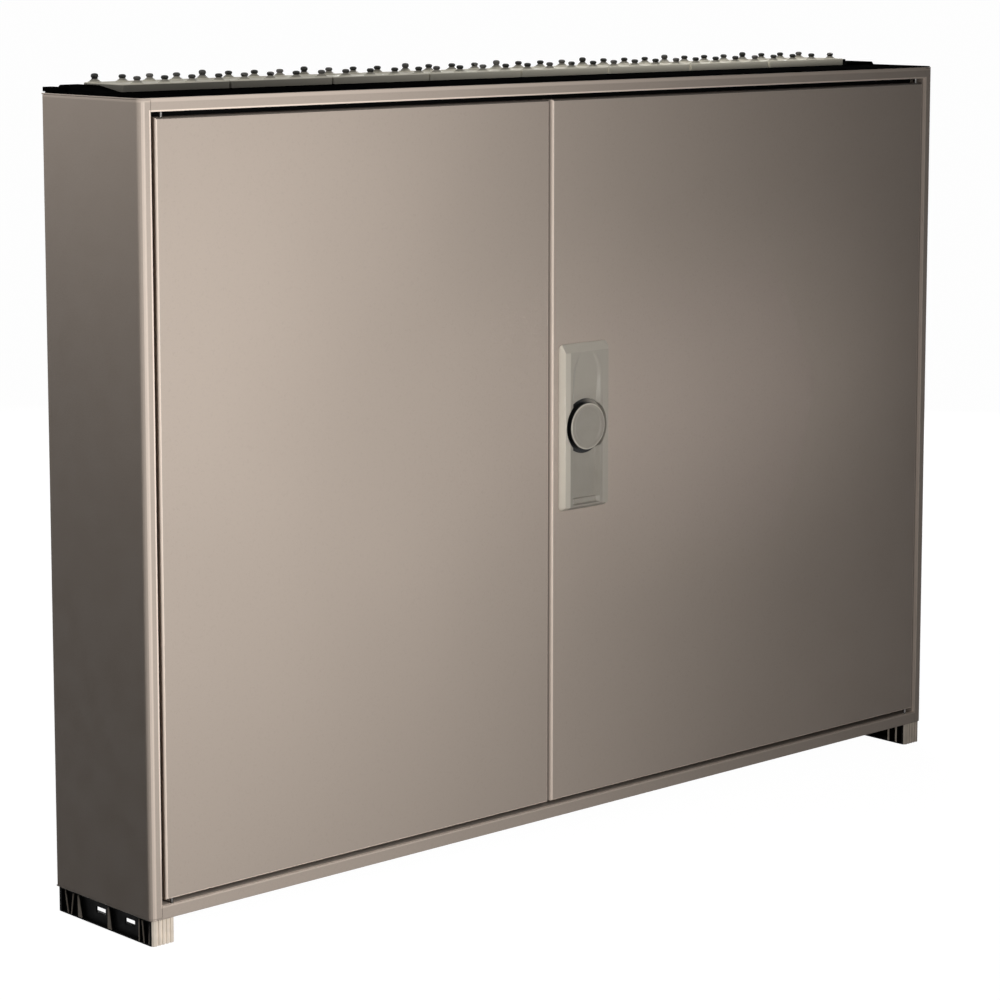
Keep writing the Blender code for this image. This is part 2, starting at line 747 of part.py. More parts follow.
def nipple_profile(rise):
    """Stepped membrane nipple, from inside the plate up to its round head."""
    return [
        (NIPPLE_FOOT_RADIUS, -FLANGE_THICKNESS / 2),
        (NIPPLE_FOOT_RADIUS, 0.12 * rise),
        (NIPPLE_NECK_RADIUS, 0.55 * rise),
        (NIPPLE_HEAD_RADIUS, 0.65 * rise),
        (NIPPLE_HEAD_RADIUS, 0.85 * rise),
        (NIPPLE_HEAD_RADIUS / 2, rise),
    ]


def cable_flange(index, centre):
    """Chamfered plate with two staggered rows of nipples, the first at the rear for a thicker cable."""
    half = (FLANGE_PITCH - FLANGE_SPACE) / 2
    outlines = []
    for inset in (0, 0, FLANGE_CHAMFER):
        x0 = centre - half + inset
        x1 = centre + half - inset
        y0 = FLANGE_FRONT_Y + inset
        y1 = FLANGE_REAR_Y - inset
        outlines.append([(x0, y0), (x1, y0), (x1, y1), (x0, y1)])
    top = FLANGE_Z + FLANGE_THICKNESS
    shape = bmesh.new()
    add_loft(shape, outlines, "Z", (FLANGE_Z, top - FLANGE_CHAMFER, top))
    plate = finish_object(f"cable_flange_{index}", shape, "flange_plastic")

    nipples = bmesh.new()
    pitch = FLANGE_PITCH / NIPPLES_PER_ROW
    middle_y = (FLANGE_FRONT_Y + FLANGE_REAR_Y) / 2
    for row in range(NIPPLE_ROWS):
        side = row - (NIPPLE_ROWS - 1) / 2
        y = middle_y + side * NIPPLE_ROW_PITCH
        for column in range(NIPPLES_PER_ROW):
            x = centre + (column - (NIPPLES_PER_ROW - 1) / 2) * pitch - side * NIPPLE_STAGGER
            tall = column == 0 and row == NIPPLE_ROWS - 1
            rise = TALL_NIPPLE_HEIGHT if tall else NIPPLE_HEIGHT
            add_turned(nipples, nipple_profile(rise), (x, y, top), "Z", NIPPLE_SIDES)
    boolean(plate, finish_object(f"nipples_{index}", nipples), "UNION")


def wall_lug(name, side):
    """Low block on the cover at a rear corner, for the fixing to the wall."""
    outer = side * HALF_WIDTH
    inner = side * (HALF_WIDTH - LUG_WIDTH)
    low = TOP_Z + SEAT + COVER_THICKNESS + SEAT
    x0, x1 = sorted((outer, inner))
    outline = rounded_rectangle(x0, x1, REAR_Y - LUG_DEPTH, REAR_Y, LUG_RADIUS)
    shape = bmesh.new()
    add_prism(shape, outline, "Z", low, low + LUG_HEIGHT)
    finish_object(name, shape, "black_plastic")


def foot_plan(x0, x1, front, rear):
    """Outline of a foot from above: rounded front corners and flutes across the front face."""
    outline = [(x1, rear), (x0, rear)]
    outline += arc((x0 + FOOT_CORNER, front + FOOT_CORNER), FOOT_CORNER, 180, 270, 3)
    pitch = (x1 - x0 - 2 * FOOT_CORNER) / FLUTE_COUNT
    for flute in range(FLUTE_COUNT):
        middle = x0 + FOOT_CORNER + (flute + 0.5) * pitch
        outline += [
            (middle - FLUTE_WIDTH / 2, front),
            (middle - FLUTE_WIDTH / 4, front + FLUTE_DEPTH),
            (middle + FLUTE_WIDTH / 4, front + FLUTE_DEPTH),
            (middle + FLUTE_WIDTH / 2, front),
        ]
    outline += arc((x1 - FOOT_CORNER, front + FOOT_CORNER), FOOT_CORNER, 270, 360, 3)
    return outline


def add_foot_pockets(shape, front, shares, x_range):
    """Pockets between neighbouring ribs of a foot, over a range of its width."""
    high = FOOT_HEIGHT - SEAT - FOOT_TOP
    for ahead, behind in zip(shares, shares[1:]):
        outline = [
            (front + ahead[3] * FOOT_LENGTH, FOOT_BOTTOM),
            (front + behind[2] * FOOT_LENGTH, FOOT_BOTTOM),
            (front + behind[0] * FOOT_LENGTH, high),
            (front + ahead[1] * FOOT_LENGTH, high),
        ]
        add_prism(shape, outline, "X", *sorted(x_range))


def foot(name, side):
    """Moulded skid: a fluted block with pockets from both sides and a windowed web between them."""
    outer = side * (HALF_WIDTH - FOOT_SIDE_INSET)
    inner = outer - side * FOOT_WIDTH
    front = FRONT_Y + FOOT_FRONT_INSET
    shape = bmesh.new()
    plan = foot_plan(min(outer, inner), max(outer, inner), front, front + FOOT_LENGTH)
    add_prism(shape, plan, "Z", 0, FOOT_HEIGHT - SEAT)
    made = finish_object(name, shape, "foot_plastic")

    web_outer = outer - side * FOOT_OUTER_POCKET
    web_inner = web_outer - side * FOOT_WEB
    pockets = bmesh.new()
    upright = [(ahead, behind, ahead, behind) for ahead, behind in FOOT_INNER_RIB_SHARES]
    add_foot_pockets(pockets, front, FOOT_RIB_SHARES, (web_outer, outer + side * FOOT_WEB))
    add_foot_pockets(pockets, front, upright, (web_inner, inner - side * FOOT_WEB))
    boolean(made, finish_object(name + "_pockets", pockets), "DIFFERENCE")

    windows = bmesh.new()
    for share in FOOT_WINDOW_SHARES:
        start = front + share * FOOT_LENGTH
        x_range = sorted((web_outer + side * FOOT_WEB, web_inner - side * FOOT_WEB))
        z_range = (FOOT_WINDOW_BOTTOM, FOOT_WINDOW_BOTTOM + FOOT_WINDOW_HEIGHT)
        add_box(windows, x_range, (start, start + FOOT_WINDOW_LENGTH), z_range)
    boolean(made, finish_object(name + "_windows", windows), "DIFFERENCE")


def rail_outline(centre_z, front_y):
    """Hat section of a mounting rail, crown to the rear, open to the front."""
    half = RAIL_HEIGHT / 2
    crown = RAIL_CROWN / 2
    path = [
        (front_y, centre_z - half),
        (front_y, centre_z - crown),
        (front_y + RAIL_DEPTH - RAIL_SHEET, centre_z - crown),
        (front_y + RAIL_DEPTH - RAIL_SHEET, centre_z + crown),
        (front_y, centre_z + crown),
        (front_y, centre_z + half),
    ]
    return folded_outline(path[::-1], RAIL_SHEET)


def field_frame(index, centre):
    """Two uprights off the rear panel, joined by a row of mounting rails."""
    rear = REAR_PANEL_Y - SHEET - SEAT
    front = rear - UPRIGHT_DEPTH
    half = (FIELD_PITCH - FIELD_SPACE) / 2
    low = BASE_Z + UPRIGHT_END_GAP
    high = TOP_Z - UPRIGHT_END_GAP
    shape = bmesh.new()
    for side in (-1, 1):
        near = centre + side * half
        far = near - side * UPRIGHT_WIDTH
        path = [(far, rear), (near, rear), (near, front), (far, front)]
        if side > 0:
            path = path[::-1]
        add_prism(shape, folded_outline(path, SHEET), "Z", low, high)
    frame = finish_object(f"field_frame_{index}", shape, "zinc_steel")

    rails = bmesh.new()
    middle_z = (low + high) / 2
    seat_y = front - RAIL_DEPTH + SHEET / 2
    for row in range(RAIL_ROWS):
        z = middle_z + (row - (RAIL_ROWS - 1) / 2) * RAIL_PITCH
        add_prism(rails, rail_outline(z, seat_y), "X", centre - half, centre + half)
    boolean(frame, finish_object(f"rails_{index}", rails), "UNION")


def build():
    clear_scene()
    side_panel("left_side_panel", -1)
    side_panel("right_side_panel", 1)
    top_panel()
    bottom_panel()
    rear_panel()
    door_frame()
    frame_seal()
    hinge_pins()
    left_door()
    right_door()
    handle_disc()
    lock_cam()
    spindle_nut()
    flange_frame()
    for index, centre in enumerate(flange_centres(), start=1):
        cable_flange(index, centre)
    wall_lug("wall_lug_left", -1)
    wall_lug("wall_lug_right", 1)
    foot("left_foot", -1)
    foot("right_foot", 1)
    for index in range(FIELD_COUNT):
        field_frame(index + 1, (index - (FIELD_COUNT - 1) / 2) * FIELD_PITCH)


build()
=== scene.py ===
"""Looks of the wide distribution board: finishes, fine fittings, floor, light and camera."""

import math

import bmesh
import bpy
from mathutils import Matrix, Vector


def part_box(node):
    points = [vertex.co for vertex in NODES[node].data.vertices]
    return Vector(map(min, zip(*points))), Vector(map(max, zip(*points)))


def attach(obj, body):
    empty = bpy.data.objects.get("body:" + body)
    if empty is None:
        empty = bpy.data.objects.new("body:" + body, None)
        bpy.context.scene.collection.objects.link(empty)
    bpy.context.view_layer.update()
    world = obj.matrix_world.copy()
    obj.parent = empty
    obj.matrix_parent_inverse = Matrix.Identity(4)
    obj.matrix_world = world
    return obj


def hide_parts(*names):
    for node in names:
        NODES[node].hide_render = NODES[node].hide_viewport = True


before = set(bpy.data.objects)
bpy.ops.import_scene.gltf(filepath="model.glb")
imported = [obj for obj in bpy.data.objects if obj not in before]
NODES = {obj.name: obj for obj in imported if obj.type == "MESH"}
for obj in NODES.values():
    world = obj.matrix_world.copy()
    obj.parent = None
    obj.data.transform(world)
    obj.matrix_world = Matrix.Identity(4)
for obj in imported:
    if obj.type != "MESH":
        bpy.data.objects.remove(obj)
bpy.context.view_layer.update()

# Colours, linear
COAT = (0.44, 0.37, 0.315)
HANDLE = (0.29, 0.265, 0.225)
FLANGE = (0.50, 0.47, 0.39)
NIPPLE_HEAD = (0.014, 0.014, 0.012)
NIPPLE_GREY = (0.10, 0.095, 0.09)
FOOT = (0.80, 0.70, 0.59)
# Painted shade in the pockets of the feet
FOOT_POCKET_SHADE = (0.002, 0.002, 0.002)
# Black of the cover: painted shade, standing for the unlit top of the cabinet
COVER_SHADE_BLACK = (0.002, 0.002, 0.002)
RUBBER = (0.006, 0.006, 0.006)
ZINC = (0.58, 0.59, 0.60)
# Hinge pins: dull zinc, darkened further as painted shade of the door gap
PIN_DULLED_AND_SHADED = (0.12, 0.115, 0.11)
# Painted shade in the handle's well and on the grip's side wall
PAINTED_WELL_SHADE = (0.004, 0.004, 0.004)
# Painted shade inside the slots of the rails
SLOT_SHADE = (0.02, 0.02, 0.02)

# Paint: the gap round the doors, the painted highlight lines round the opening and each door, how much
# paler they are, how far behind a front they fade out, and the softening of edges
DOOR_GAP = 0.006
OPENING_HIGHLIGHT = 0.0022
DOOR_HIGHLIGHT = 0.0026
HIGHLIGHT_TONE = 2.0
HIGHLIGHT_FADE = (0.0040, 0.0055)
PAINT_EDGE = 0.0012

# Cable flanges: plate, gap between plates, foot of the skirt over the underside of the cover, height of
# the nipples and how far off the middle each row lies
FLANGE_NUMBERS = range(1, 9)
FLANGE_THICKNESS = 0.004
FLANGE_GAP = 0.003
SKIRT_FOOT = 0.0018
RISE = 0.008
TALL_RISE = 0.010
ROW_OFFSET = 0.027
# Shift of each row along the board: the three plates at the left are of one kind, the others of another
STAGGERS = (0.009,) * 3 + (0.001,) * 5

# Radius and height of a stepped membrane nipple, in mm, for a rise of 9 mm
NIPPLE = (
    (7.6, -0.5), (7.6, 0.4), (7.2, 0.8), (5.9, 1.0), (5.6, 1.2), (5.5, 1.9), (5.1, 2.2), (4.2, 2.4),
    (4.0, 2.6), (3.9, 3.3), (3.5, 3.6), (3.2, 3.8), (3.1, 4.2), (3.5, 4.6), (4.0, 5.1), (4.2, 5.9),
    (4.2, 6.9), (3.9, 7.8), (3.1, 8.5), (1.7, 8.9), (0, 9.0),
)
NIPPLE_HEIGHT = 9
NIPPLE_SIDES = 20

# Cover: corner, sheet, inset of its cable slot, and its raised frame with border, top and distance from
# the cover's sides
COVER_CORNER = 0.007
COVER_SHEET = 0.001
SLOT_INSET = 0.010
FRAME_BORDER = 0.004
FRAME_TOP = 0.0015
FRAME_SIDE = 0.0142

# End blocks on the cover: border before and behind the flanges, inset from the frame, foot, lower front
# of the left block, how far that block stays under the highest point, top of the right one, and softening
BLOCK_BORDER = 0.0035
BLOCK_INSET = 0.0005
BLOCK_FOOT = 0.0008
BLOCK_FRONT = 0.001
LEFT_BLOCK_DROP = 0.002
RIGHT_BLOCK_TOP = 0.0052
BLOCK_SOFTENING = 0.003

# The handle, from its turning axis on the door face; the plate is a grid with a step of 1 mm
HALF_X_MM = 40
HALF_Z_MM = 101
MIDDLE_MM = 38
PLATE_HALF_X = HALF_X_MM / 1000
PLATE_HALF_Z = HALF_Z_MM / 1000
MIDDLE_HALF_Z = MIDDLE_MM / 1000
PLATE_CORNER = 0.006
PLATE_GAP = 0.0003
WELL_RADIUS = 0.0335
WELL_FLOOR = 0.0016
WELL_RINGS = 20
SPINDLE_RADIUS = 0.0065
DISC_RADIUS = 0.0285
DISC_SIDES = 96
HANDLE_Z = 0.507

# Its height over the door: the outer edge, what the face adds, and the slope up to the face, which is
# wider at the top
EDGE_HEIGHT = 0.0015
FACE_RISE = 0.0065
SLOPE = 0.004
TOP_SLOPE = 0.010

# Its finger troughs: half width, depth, where the upper one has run out and begins to round off, how
# long that rounding is, where the lower one ends, the width of its end wall, and its shallower ledge
TROUGH_HALF = 0.023
TROUGH_DEPTH = 0.006
TROUGH_TOP = 0.096
TROUGH_ROUNDING = 0.058
ROUNDING_LENGTH = 0.036
TROUGH_BOTTOM = -0.095
TROUGH_WALL = 0.001
TROUGH_LEDGE = -0.087
LEDGE_SHARE = 0.6

# Mounting fields: rail spacing, slots of the rails, and how far the uprights lie behind the rail fronts
FIELD_NUMBERS = range(1, 6)
RAIL_PITCH = 0.150
SLOT_PITCH = 0.025
SLOT_HALF_LENGTH = 0.005
SLOT_RADIUS = 0.0034
RAIL_FRONT = 0.00675

# Radius and height of a socket screw head, in mm
SCREW = ((0, 0.4), (1.2, 0.4), (1.3, 1.3), (1.9, 1.3), (2.5, 1.0), (2.9, 0.5), (3.0, -0.2), (0, -0.2))
SCREW_SIDES = 18

# Kinds of ray that see the white floor and world; all other light meets a dark floor and a weak fill
SEEN_RAYS = ("Is Camera Ray", "Is Glossy Ray", "Is Transmission Ray")


class Finish:
    """A material under construction: its nodes and its Principled shader."""

    def __init__(self, name, colour, roughness, metallic=0.0, specular=0.5):
        self.material = bpy.data.materials.new(name)
        self.material.use_nodes = True
        self.nodes = self.material.node_tree.nodes
        self.links = self.material.node_tree.links
        self.shader = self.nodes["Principled BSDF"]
        self.shader.inputs["Base Color"].default_value = (*colour, 1)
        self.shader.inputs["Roughness"].default_value = roughness
        self.shader.inputs["Metallic"].default_value = metallic
        self.shader.inputs["Specular IOR Level"].default_value = specular
        self.place = self.add("ShaderNodeTexCoord").outputs["Object"]

    def add(self, kind, **values):
        node = self.nodes.new(kind)
        for key, value in values.items():
            setattr(node, key, value)
        return node

    def feed(self, socket, value):
        if isinstance(value, bpy.types.NodeSocket):
            self.links.new(value, socket)
        else:
            socket.default_value = value

    def maths(self, operation, first, second=0.0, third=0.0):
        node = self.add("ShaderNodeMath", operation=operation)
        for socket, value in zip(node.inputs, (first, second, third)):
            self.feed(socket, value)
        return node.outputs[0]

    def length(self, first, second):
        """Length of two measures at right angles."""
        squares = self.maths("ADD", self.maths("POWER", first, 2.0), self.maths("POWER", second, 2.0))
        return self.maths("SQRT", squares)

    def noise(self, scale, detail=2.0, stretch=None):
        node = self.add("ShaderNodeTexNoise")
        node.inputs["Scale"].default_value = scale
        node.inputs["Detail"].default_value = detail
        place = self.place
        if stretch:
            mapping = self.add("ShaderNodeMapping")
            mapping.inputs["Scale"].default_value = stretch
            self.links.new(place, mapping.inputs["Vector"])
            place = mapping.outputs[0]
        self.links.new(place, node.inputs["Vector"])
        return node.outputs["Fac"]

    def ramp(self, value, low, high, out_low=0.0, out_high=1.0):
        node = self.add("ShaderNodeMapRange", interpolation_type="SMOOTHSTEP")
        for socket, item in zip(node.inputs, (value, low, high, out_low, out_high)):
            self.feed(socket, item)
        return node.outputs[0]

    def mix(self, share, first, second):
        node = self.add("ShaderNodeMix", data_type="RGBA")
        self.feed(node.inputs[0], share)
        for socket, colour in zip((node.inputs[6], node.inputs[7]), (first, second)):
            if isinstance(colour, tuple):
                socket.default_value = (*colour[:3], 1)
            else:
                self.links.new(colour, socket)
        return node.outputs[2]

    def clouded(self, colour, scale, low, high):
        """A colour that wanders softly between two of its shades."""
        return self.mix(self.ramp(self.noise(scale, 3), 0.3, 0.7), shade(colour, low), shade(colour, high))

    def colour(self, value):
        self.links.new(value, self.shader.inputs["Base Color"])

    def roughness(self, value, low, high):
        self.links.new(self.ramp(value, 0.3, 0.7, low, high), self.shader.inputs["Roughness"])

    def surface(self, heights, edge=0.0):
        """Bumps, each a height and its distance in metres, over softened edges."""
        normal = None
        if edge:
            bevel = self.add("ShaderNodeBevel", samples=6)
            bevel.inputs["Radius"].default_value = edge
            normal = bevel.outputs[0]
        for height, distance in heights:
            bump = self.add("ShaderNodeBump")
            bump.inputs["Strength"].default_value = 1.0
            bump.inputs["Distance"].default_value = distance
            self.links.new(height, bump.inputs["Height"])
            if normal:
                self.links.new(normal, bump.inputs["Normal"])
            normal = bump.outputs[0]
        self.links.new(normal, self.shader.inputs["Normal"])

    def axis(self, name):
        return self.split("Object", name)

    def split(self, output, name):
        """One part of the object place or of the object normal."""
        node = self.add("ShaderNodeSeparateXYZ")
        self.links.new(self.place.node.outputs[output], node.inputs[0])
        return node.outputs[name]

    def facing(self):
        """How far a face turns to the front or to the rear."""
        return self.maths("ABSOLUTE", self.split("Normal", "Y"))

    def outline(self, low, high, width):
        """A line along the sides of a front, from the corners of its box, fading out behind it."""
        over = []
        for name, ends in (("X", (low.x, high.x)), ("Z", (low.z, high.z))):
            offset = self.maths("SUBTRACT", self.axis(name), sum(ends) / 2)
            over.append(self.maths("SUBTRACT", self.maths("ABSOLUTE", offset), (ends[1] - ends[0]) / 2))
        reach = self.maths("ABSOLUTE", self.maths("MAXIMUM", *over))
        near = self.ramp(self.axis("Y"), low.y + HIGHLIGHT_FADE[1], low.y + HIGHLIGHT_FADE[0])
        return self.maths("MULTIPLY", self.ramp(reach, width, width * 0.6), near)


def shade(colour, factor):
    return tuple(min(1.0, channel * factor) for channel in colour)


def paint(name, colour):
    """Textured paint and its tone, which a finish may change before it is used."""
    made = Finish(name, colour, 0.45, specular=0.15)
    broad = made.noise(1.7, 2)
    tone = made.mix(made.ramp(broad, 0.3, 0.7), shade(colour, 0.95), shade(colour, 1.04))
    specks = made.ramp(made.noise(420, 2), 0.56, 0.72)
    made.roughness(made.noise(26, 3), 0.40, 0.52)
    made.surface([(made.noise(520, 3), 0.00011), (made.noise(70, 2), 0.00016)], PAINT_EDGE)
    return made, made.mix(made.maths("MULTIPLY", specks, 0.16), tone, shade(colour, 0.72))


def door_opening():
    """Corners of the opening that both doors close."""
    gap = Vector((DOOR_GAP, 0.0, DOOR_GAP))
    low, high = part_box("left_door_panel")[0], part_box("right_door_panel")[1]
    return low - gap, high + gap


def body_coat(name, colour):
    """Paint with painted highlights: paler along its folds, round the door opening and along the top of the
    sides.
    """
    made, tone = paint(name, colour)
    facing = made.facing()
    # Painted highlight along the rounded folds, left out where they turn to the right
    fold_highlight = made.maths("MULTIPLY", made.ramp(facing, 0.82, 0.92), made.ramp(facing, 0.999, 0.985))
    fold_highlight = made.maths("MULTIPLY", fold_highlight, made.ramp(made.split("Normal", "X"), 0.06, 0.02))
    tone = made.mix(fold_highlight, tone, shade(colour, 1.5))
    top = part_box("left_side_panel")[1].z
    # Painted highlight along the top edge of the sides
    tone = made.mix(made.ramp(made.axis("Z"), top - 0.0030, top - 0.0018), tone, shade(colour, 1.3))
    # Painted highlight line round the door opening, weaker on front faces low down
    highlight_line = made.outline(*door_opening(), OPENING_HIGHLIGHT)
    below = made.maths("MULTIPLY", made.ramp(made.axis("Z"), 0.12, 0.06), made.ramp(facing, 0.5, 0.9))
    highlight_line = made.maths("MULTIPLY", highlight_line, made.maths("MULTIPLY_ADD", below, -0.7, 1.0))
    made.colour(made.mix(highlight_line, tone, shade(colour, HIGHLIGHT_TONE)))
    return made.material


def door_coat(name, colour):
    """Paint with a painted highlight along the rounded door edges and round each door, and painted shade on
    the walls that face up, down or right.
    """
    made, tone = paint(name, colour)
    facing = made.facing()
    # Painted highlight along the rounded door edges and round each door
    edge_highlight = made.maths("MULTIPLY", made.ramp(facing, 0.55, 0.7), made.ramp(facing, 0.98, 0.9))
    for side in ("left", "right"):
        edge_highlight = made.maths("MAXIMUM", edge_highlight, made.outline(*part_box(f"{side}_door_panel"), DOOR_HIGHLIGHT))
    tone = made.mix(edge_highlight, tone, shade(colour, HIGHLIGHT_TONE))
    # Painted shade on the walls in the gaps that face up, down or right
    turned = made.maths("GREATER_THAN", made.split("Normal", "X"), -0.5)
    painted_shade_wall = made.maths("MULTIPLY", made.ramp(facing, 0.6, 0.4), turned)
    painted_shade_wall = made.maths("MAXIMUM", painted_shade_wall, made.ramp(made.split("Normal", "Z"), 0.2, 0.45))
    made.colour(made.mix(painted_shade_wall, tone, shade(colour, 0.3)))
    return made.material


def rim_distance(made):
    """Distance from the turning axis of the handle, in the plane of the door."""
    across = made.maths("ABSOLUTE", made.axis("X"))
    rise = made.maths("ABSOLUTE", made.maths("SUBTRACT", made.axis("Z"), HANDLE_Z))
    return made.length(across, rise)


def handle_base(name):
    made = Finish(name, HANDLE, 0.36, specular=0.3)
    made.roughness(made.noise(60, 2), 0.32, 0.42)
    made.surface([(made.noise(900, 2), 0.00004)], 0.0007)
    return made, made.clouded(HANDLE, 24, 0.95, 1.05)


def plate_finish(name):
    """Grey plate with painted highlights on its upper half, its top end, its margins and its left bevel, and
    a painted shadow in the well towards its left and bottom.
    """
    made, tone = handle_base(name)
    across = made.axis("X")
    upright = made.maths("SUBTRACT", made.axis("Z"), HANDLE_Z)
    # Painted highlights: the upper half, the left and right margins, the top end and the left bevel paler
    upper = made.ramp(upright, 0.015, 0.050)
    tone = made.mix(upper, tone, shade(HANDLE, 1.22))
    left = made.ramp(across, -0.0260, -0.0285)
    tone = made.mix(left, tone, shade(HANDLE, 1.75))
    right = made.ramp(across, 0.0260, 0.0275)
    tone = made.mix(right, tone, shade(HANDLE, 1.25))
    ends = made.ramp(upright, PLATE_HALF_Z - 0.0105, PLATE_HALF_Z - 0.0095)
    tone = made.mix(ends, tone, shade(HANDLE, 1.5))
    bevel = made.ramp(across, 0.0050 - PLATE_HALF_X, 0.0042 - PLATE_HALF_X)
    tone = made.mix(bevel, tone, shade(HANDLE, 2.4))
    # Painted shadow in the well, strongest towards its left and bottom
    inside = made.ramp(rim_distance(made), WELL_RADIUS + 0.0002, WELL_RADIUS - 0.0002)
    leftward = made.maths("MULTIPLY_ADD", across, -1.2 / WELL_RADIUS, 0.75)
    downward = made.maths("MULTIPLY", made.maths("MINIMUM", upright, 0.0), -0.45 / WELL_RADIUS)
    painted_shade = made.ramp(made.maths("ADD", leftward, downward), 0.0, 0.9)
    made.colour(made.mix(made.maths("MULTIPLY", inside, painted_shade), tone, PAINTED_WELL_SHADE))
    return made.material


def grip_finish(name):
    """Grey turning grip with a painted highlight on its rounded rim and painted shade on its side wall."""
    made, tone = handle_base(name)
    radius = rim_distance(made)
    # Painted highlight on the rounded rim
    rim = made.ramp(radius, DISC_RADIUS - 0.0026, DISC_RADIUS - 0.0014)
    tone = made.mix(rim, tone, shade(HANDLE, 1.7))
    # Painted shade on the side wall
    painted_shade_wall = made.ramp(radius, DISC_RADIUS - 0.0006, DISC_RADIUS - 0.0002)
    made.colour(made.mix(painted_shade_wall, tone, PAINTED_WELL_SHADE))
    return made.material


def flange_finish(name):
    """Pale moulding whose nipples turn dark above their stems, and whose front edges carry painted light and
    shade, dark at the left and pale at the right.
    """
    made = Finish(name, FLANGE, 0.55, specular=0.2)
    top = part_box("cable_flange_1")[0].z + FLANGE_THICKNESS
    tone = made.clouded(FLANGE, 40, 0.9, 1.05)
    cells = made.add("ShaderNodeTexVoronoi", feature="F1")
    cells.inputs["Scale"].default_value = 45
    made.links.new(made.place, cells.inputs["Vector"])
    greyness = made.ramp(cells.outputs["Color"], 0.55, 0.75)
    rubber_tone = made.mix(greyness, NIPPLE_HEAD, NIPPLE_GREY)
    collar = made.ramp(made.axis("Z"), top + 0.0008, top + 0.0012)
    tone = made.mix(collar, tone, shade(FLANGE, 0.45))
    # Painted light and shade on the front edges: dark at the left, pale at the right
    edge = made.ramp(made.axis("Z"), top - 0.0008, top - 0.0013)
    edge_light_gradient = made.mix(made.ramp(made.axis("X"), -0.55, 0.35), shade(FLANGE, 0.2), shade(FLANGE, 1.5))
    tone = made.mix(edge, tone, edge_light_gradient)
    head = made.ramp(made.axis("Z"), top + 0.0030, top + 0.0040)
    made.colour(made.mix(head, tone, rubber_tone))
    made.roughness(made.noise(80, 2), 0.48, 0.62)
    made.surface([(made.noise(900, 2), 0.00005)], 0.0004)
    return made.material


def brush(made):
    """Fine upright brushing of a zinc finish."""
    made.roughness(made.noise(30, 3, (1, 1, 8)), 0.30, 0.46)
    made.surface([(made.noise(300, 2, (1, 1, 6)), 0.00004)], 0.0004)
    return made.material


def field_finish(name):
    """Zinc plate with rows of slots along the mounting rails, painted dark as the shade inside them."""
    made = Finish(name, ZINC, 0.38, metallic=1.0)
    low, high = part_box("field_frame_3")
    tone = made.ramp(made.noise(30, 3, (1, 1, 6)), 0.3, 0.7)
    tone = made.mix(tone, shade(ZINC, 0.86), shade(ZINC, 1.05))
    # Painted shade inside the slots of the rails
    along = made.maths("PINGPONG", made.axis("X"), SLOT_PITCH / 2)
    middle = (low.z + high.z) / 2
    rise = made.maths("SUBTRACT", made.axis("Z"), middle - RAIL_PITCH / 2)
    rise = made.maths("SUBTRACT", made.maths("PINGPONG", rise, RAIL_PITCH / 2), RAIL_PITCH / 2)
    over = made.maths("MAXIMUM", made.maths("SUBTRACT", along, SLOT_HALF_LENGTH), 0.0)
    from_slot = made.length(over, made.maths("ABSOLUTE", rise))
    rail = made.ramp(made.axis("Y"), low.y + 0.0080, low.y + 0.0076)
    slot = made.maths("MULTIPLY", made.ramp(from_slot, SLOT_RADIUS, SLOT_RADIUS - 0.0006), rail)
    made.colour(made.mix(slot, tone, SLOT_SHADE))
    return brush(made)


def shade_black_cover(name):
    # The cover's black is painted shade, standing for the unlit top of the cabinet
    made = Finish(name, COVER_SHADE_BLACK, 0.9, specular=0.0)
    made.colour(made.mix(made.ramp(made.noise(40, 3), 0.35, 0.65), shade(COVER_SHADE_BLACK, 0.7), shade(COVER_SHADE_BLACK, 1.4)))
    made.surface([(made.noise(1100, 2), 0.00004)], 0.0006)
    return made.material


def foot_plastic(name):
    """Pale moulding with painted shade in its deep pockets, at its ends and along its top and bottom rails;
    rib edges and the front keep the pale colour.
    """
    made = Finish(name, FOOT, 0.6, specular=0.06)
    low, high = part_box("right_foot")
    across = made.maths("ABSOLUTE", made.axis("X"))
    inward = made.maths(
        "MINIMUM",
        made.maths("SUBTRACT", high.x, across),
        made.maths("SUBTRACT", across, low.x),
    )
    # Painted shade in the pockets, along the top and bottom rails and at the ends
    deep = made.ramp(inward, 0.0003, 0.0012)
    upright = made.axis("Z")
    rails = made.maths(
        "MAXIMUM",
        made.ramp(upright, 0.0022, 0.0012),
        made.ramp(upright, high.z - 0.0028, high.z - 0.0016),
    )
    behind = made.ramp(made.axis("Y"), low.y + 0.0022, low.y + 0.0030)
    painted_shade_wall = made.maths(
        "MAXIMUM",
        made.ramp(made.axis("Y"), low.y + 0.0062, low.y + 0.0055),
        made.ramp(made.axis("Y"), high.y - 0.0045, high.y - 0.0040),
    )
    painted_shade = made.maths("MAXIMUM", made.maths("MAXIMUM", deep, rails), painted_shade_wall)
    pocket_shade = made.maths("MULTIPLY", painted_shade, behind)
    made.colour(made.mix(pocket_shade, made.clouded(FOOT, 60, 0.9, 1.05), FOOT_POCKET_SHADE))
    made.roughness(made.noise(90, 2), 0.52, 0.66)
    made.surface([(made.noise(800, 2), 0.00005)], 0.0005)
    return made.material


def zinc(name, colour=ZINC):
    made = Finish(name, colour, 0.38, metallic=1.0)
    flakes = made.add("ShaderNodeTexVoronoi", feature="F1")
    flakes.inputs["Scale"].default_value = 140
    made.links.new(made.place, flakes.inputs["Vector"])
    tone = made.ramp(flakes.outputs["Distance"], 0.0, 0.7)
    made.colour(made.mix(tone, shade(colour, 0.86), shade(colour, 1.06)))
    return brush(made)


def rubber(name):
    made = Finish(name, RUBBER, 0.9, specular=0.1)
    made.colour(made.mix(made.noise(300, 2), shade(RUBBER, 0.6), shade(RUBBER, 1.4)))
    made.surface([(made.noise(900, 3), 0.0001)])
    return made.material


def dress(finish, *names):
    for name in names:
        data = NODES[name].data
        data.materials.clear()
        data.materials.append(finish)


